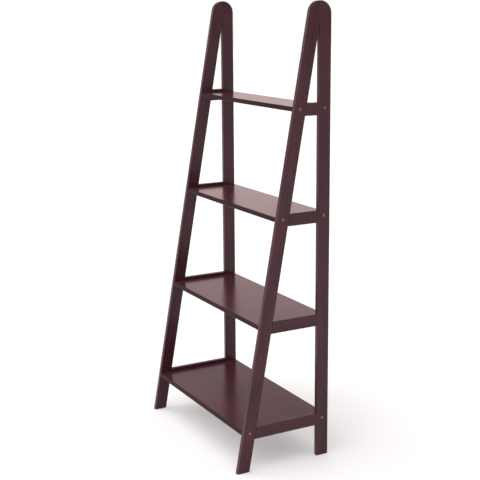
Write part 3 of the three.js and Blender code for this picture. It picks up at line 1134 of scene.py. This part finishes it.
@dataclass
class ConnectorBolt:
    """A bolt with a rounded head, a hexagon socket and a rolled thread, turned about X."""

    plan: Plan
    side: Side
    brass: bpy.types.Material
    head_radius: float = 5 * MM
    head_height: float = 3.6 * MM
    head_round: float = 0.8 * MM
    shank_radius: float = 2.95 * MM
    socket: float = 4 * MM
    socket_depth: float = 2.2 * MM
    pitch: float = 1.0 * MM
    thread_depth: float = 0.3 * MM
    thread_length: float = 24 * MM
    thread_steps: int = 6  # rings to each turn of the thread
    head_steps: int = 4  # rings round the head's rounded rim
    socket_floor: float = 0.75  # the flat's share of the socket's floor
    drill_point: float = 0.6 * MM  # of the socket, under its floor
    socket_lip: float = 0.15 * MM
    lip_steps: tuple[float, float] = (0.4, 3.0)  # the lip's drop and width, in lips
    lip_hexagon: tuple[float, float] = (0.9, 0.4)  # how far its rings are hexagons
    axis_radius: float = 0.05 * MM  # of the smallest rings, next to the axis
    fillet: float = 0.2 * MM  # under the head
    sectors: int = 36
    sharp_past: float = 35.0  # degrees between faces

    def profile(self, length: float) -> np.ndarray:
        """Draws the bolt from the bottom of its socket over the head's rim and down to its point.

        Args:
            length: The bolt's length under its head.

        Returns:
            Rows of radius, height over the seat, how far the ring is a hexagon, and how deep its thread is.
        """
        corner = self.socket / math.sqrt(3)
        top, lip, fillet = self.head_height, self.socket_lip, self.fillet
        floor = top - self.socket_depth
        drop, width = self.lip_steps
        rim = self.head_radius - self.head_round
        angle = np.linspace(RIGHT_ANGLE, 0, self.head_steps + 1)[1:]
        start = self.thread_length - length
        turns = np.arange(start, -length + self.pitch, -self.pitch / self.thread_steps)
        runout = np.clip((start - turns) / self.pitch, 0, 1)
        curve = [rim + self.head_round * np.cos(angle), top - self.head_round * (1 - np.sin(angle))]
        rows = [
            [[self.axis_radius, floor - self.drill_point, 1, 0], [self.socket_floor * corner, floor, 1, 0]],
            [[corner, floor, 1, 0], [corner, top - 2 * lip, 1, 0]],
            [[corner + lip, top - drop * lip, self.lip_hexagon[0], 0]],
            [[corner + width * lip, top, self.lip_hexagon[1], 0], [rim, top, 0, 0]],
            np.stack([*curve, 0 * angle, 0 * angle], axis=1),
            [[self.head_radius, fillet, 0, 0], [self.head_radius - fillet, 0, 0, 0]],
            [[self.shank_radius + fillet, 0, 0, 0], [self.shank_radius, -fillet, 0, 0]],
            [[self.shank_radius, start + self.pitch, 0, 0]],
            np.stack([np.full(len(turns), self.shank_radius), turns, 0 * turns, runout], axis=1),
            [[self.shank_radius - self.thread_depth, self.pitch - length, 0, 0]],
            [[self.shank_radius - self.pitch, -length, 0, 0], [self.axis_radius, -length, 0, 0]],
        ]
        return np.concatenate([np.array(part, float) for part in rows])

    def shell(self, length: float) -> Shell:
        """Turns the profile about an axis.

        A ring's radius at angle a is the profile's radius times a blend of 1 and the hexagon's reach, which
        is cos 30 over the cosine of a's distance from the nearest flat. The thread cuts into it as a triangle
        wave that advances one pitch a turn.

        Args:
            length: The bolt's length under its head.

        Returns:
            The surface, with z along the bolt, out of the head, from the seat.
        """
        rows = self.profile(length)
        radius, height, hexagon, cut = (rows[:, [k]] for k in range(4))
        angle = np.linspace(0, 2 * math.pi, self.sectors, endpoint=False)[None, :]
        to_flat = (angle + math.pi / 6) % (math.pi / 3) - math.pi / 6
        reach = math.cos(math.pi / 6) / np.cos(to_flat)
        phase = (height / self.pitch - angle / (2 * math.pi)) % 1
        groove = self.thread_depth * cut * np.abs(2 * phase - 1)
        around = radius * (1 - hexagon + hexagon * reach) - groove
        points = np.stack([around * np.cos(angle), around * np.sin(angle), height + 0 * angle], axis=-1)
        rings = np.arange(points.shape[0] * self.sectors).reshape(-1, self.sectors)
        count = rings.size
        ends = np.array([[0, 0, rows[0, 1]], [0, 0, rows[-1, 1]]])
        first = np.stack([np.full(self.sectors, count), np.roll(rings[0], -1), rings[0]], axis=1)
        last = np.stack([np.full(self.sectors, count + 1), rings[-1], np.roll(rings[-1], -1)], axis=1)
        return Shell(
            points=np.concatenate([points.reshape(-1, 3), ends]),
            quads=ring_quads(rings),
            triangles=np.concatenate([first, last]),
        )

    def build(self, node: str) -> None:
        """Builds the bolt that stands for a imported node, in the node's own place."""
        low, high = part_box(node)
        length = high[0] - low[0] - self.head_height
        seat = (high[0] if self.side is Side.RIGHT else low[0]) - self.side.value * self.head_height
        middle = (seat, (low[1] + high[1]) / 2, (low[2] + high[2]) / 2)
        stand = Stand(middle, ((0, self.side.value, 0), (0, 0, 1), (self.side.value, 0, 0)))
        piece = stand.carry(self.shell(length)).to_object(f"{node}_turned")
        piece.data.update()
        piece.data.set_sharp_from_angle(angle=math.radians(self.sharp_past))
        finish(piece, self.brass, node)


@dataclass
class HiddenFittings:
    """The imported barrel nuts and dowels, which keep their shape and get their finish."""

    zinc: bpy.types.Material
    beech: bpy.types.Material

    def dress(self) -> None:
        """Gives each nut and dowel its material, on every slot that it has."""
        for name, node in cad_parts.items():
            material = self.zinc if "_nut_" in name else self.beech if "_dowel_" in name else None
            if material is None:
                continue
            if not node.data.materials:
                node.data.materials.append(material)
            for number in range(len(node.data.materials)):
                node.data.materials[number] = material
            LOG.info("%s: %s", name, material.name)


# ---- Studio ----


@dataclass(frozen=True)
class Studio:
    """A pale floor, a white surround with a brighter backdrop, a soft key and fill, and the camera.

    Lengths are in metres and angles in degrees. A light's way is the way its light travels.
    """

    eye: tuple[float, float, float] = (3.161, -1.700, 1.512)
    azimuth: float = 61.40
    pitch: float = 11.78
    roll: float = -0.45
    lens: float = 79.06
    sensor: float = 36.0
    shift: float = -0.035
    floor_size: float = 60.0
    floor_lines: int = 9
    dim: float = 0.3  # brightness of the surround between the backdrop and the overhead light
    surround_tint: str = "#FFF3F3"
    backdrop: float = 1.5  # how much brighter the backdrop is
    backdrop_tint: str = "#FFE2E0"
    backdrop_top: tuple[float, float] = (0.12, 0.45)  # sines of the heights between which it fades out
    backdrop_foot: tuple[float, float] = (0.06, 0.17)  # and between which it comes up to full brightness
    foot_share: float = 0.3  # of its brightness at its foot
    behind: float = 0.45  # the backdrop's share of its brightness on the camera's side
    backdrop_side: tuple[float, float] = (-0.3, 0.6)  # cosines from straight behind between which it fades
    overhead: float = 0.4  # how much brighter the overhead light is
    overhead_rim: tuple[float, float] = (0.6, 0.8)  # sines of the heights between which it comes up
    key_strength: float = 1.3
    key_way: tuple[float, float, float] = (0.3, 1.0, -1.1)
    fill_strength: float = 1.7
    fill_way: tuple[float, float, float] = (0.0, 0.1, -1.0)
    lamp_angle: float = 90.0

    def floor(self) -> bpy.types.Object:
        """Builds the floor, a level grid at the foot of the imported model."""
        edge = np.linspace(-self.floor_size / 2, self.floor_size / 2, self.floor_lines)
        x, y = np.meshgrid(edge, edge, indexing="ij")
        points = np.stack([x, y, np.full(x.shape, CAD_BOX[0][2])], axis=-1).reshape(-1, 3)
        quads = grid_quads(np.arange(x.size).reshape(x.shape)).reshape(-1, 4)
        floor = Shell(points, quads).to_object("studio_floor")
        floor.data.materials.append(PaleFloor().material())
        return floor

    def light(self) -> None:
        """Adds the surround, the key and the fill.

        The surround is an even dim glow, with an overhead light that comes up smoothly between two heights
        and a warm white backdrop that fades out smoothly between two others, is dimmer at its foot and is
        brightest behind the shelf. Seen directly, it's plain white from every side. The key is in front of
        the shelf, halfway up and a little to its left, and a fill with no shadow of its own comes from above.
        """
        world = bpy.data.worlds.new("studio_surround")
        bpy.context.scene.world = world
        world.use_nodes = True
        tree = world.node_tree
        tree.nodes.clear()
        way = add_node(tree, "TexCoord", {}, {}, "Generated")
        height = add_node(tree, "SeparateXYZ", {}, {"Vector": way}, "Z")
        turn = math.radians(self.azimuth)
        facing = {0: way, 1: (-math.sin(turn), math.cos(turn), 0.0)}
        ahead = add_node(tree, "VectorMath", {"operation": "DOT_PRODUCT"}, facing, "Value")
        brightness = (self.behind * self.backdrop, self.backdrop)
        around, upward, foot, canopy = (
            add_node(tree, "MapRange", {"interpolation_type": "SMOOTHSTEP"}, inputs)
            for inputs in (
                ranged(ahead, self.backdrop_side, brightness),
                ranged(height, self.backdrop_top, (1.0, 0.0)),
                ranged(height, self.backdrop_foot, (self.foot_share, 1.0)),
                ranged(height, self.overhead_rim, (self.dim, self.dim + self.overhead)),
            )
        )
        tall = add_node(tree, "Math", {"operation": "MULTIPLY"}, {0: foot, 1: upward})
        sweep = add_node(tree, "Math", {"operation": "MULTIPLY"}, {0: around, 1: tall})
        above = {"Color": linear(self.surround_tint), "Strength": canopy}
        behind = {"Color": linear(self.backdrop_tint), "Strength": sweep}
        glows = [add_node(tree, "Background", {}, glow) for glow in (above, behind)]
        surround = add_node(tree, "AddShader", {}, dict(enumerate(glows)))
        seen = add_node(tree, "LightPath", {}, {}, "Is Camera Ray")
        plain = add_node(tree, "Background", {}, {"Color": linear(WHITE)})
        shown = add_node(tree, "MixShader", {}, {0: seen, 1: surround, 2: plain})
        add_node(tree, "OutputWorld", {}, {"Surface": shown})
        self.lamp("key_light", self.key_strength, self.key_way, True)
        self.lamp("fill_light", self.fill_strength, self.fill_way, False)

    def lamp(self, name: str, strength: float, way: tuple[float, float, float], shadow: bool) -> None:
        """Adds a wide soft distant light.

        Args:
            name: The light's name.
            strength: Its strength.
            way: The way its light travels.
            shadow: Whether it casts a shadow.
        """
        data = bpy.data.lights.new(name, "SUN")
        data.energy = strength
        data.angle = math.radians(self.lamp_angle)
        data.use_shadow = shadow
        lamp = bpy.data.objects.new(name, data)
        lamp.rotation_euler = Vector(way).to_track_quat("-Z", "Y").to_euler()
        bpy.context.scene.collection.objects.link(lamp)

    def camera(self) -> None:
        """Sets the camera, turned from level by its azimuth, pitch and roll."""
        turn, dip, roll = (math.radians(a) for a in (self.azimuth, self.pitch, self.roll))
        back = Vector((math.sin(turn) * math.cos(dip), -math.cos(turn) * math.cos(dip), math.sin(dip)))
        level_right = Vector((0, 0, 1)).cross(back).normalized()
        level_up = back.cross(level_right)
        right = math.cos(roll) * level_right + math.sin(roll) * level_up
        up = math.cos(roll) * level_up - math.sin(roll) * level_right
        data = bpy.data.cameras.new("studio_camera")
        data.lens = self.lens
        data.sensor_width = self.sensor
        data.shift_y = self.shift
        camera = bpy.data.objects.new("studio_camera", data)
        axes = Matrix((right, up, back)).transposed().to_4x4()
        camera.matrix_world = Matrix.Translation(self.eye) @ axes
        bpy.context.scene.collection.objects.link(camera)
        bpy.context.scene.camera = camera

    def build(self) -> None:
        """Builds the camera, the lights and the floor, with colours shown as they are."""
        self.camera()
        self.light()
        self.floor()
        bpy.context.scene.view_settings.view_transform = "Standard"


def main() -> None:
    """Builds the studio and every visible piece of the shelf."""
    logging.basicConfig(level=logging.INFO, format="%(message)s")
    Studio().build()
    plan = Plan.from_frame()
    wood = EspressoLacquer().material()
    brass = AntiqueBrassPlate().material()
    for number, side in enumerate(Side):
        SideFrame(plan, side, wood, first_plank=1 + number * FRAME_PLANKS).build()
        for level in Level:
            for place in ENDS if level.bolted else ():
                ConnectorBolt(plan, side, brass).build(f"{level.value}_shelf_bolt_{side.word}_{place}")
    for number, level in enumerate(Level):
        Shelf(plan, level, wood, plank=1 + len(Side) * FRAME_PLANKS + number).build()
    HiddenFittings(ZincPlate().material(), BeechRod().material()).dress()


if __name__ == "__main__":
    main()
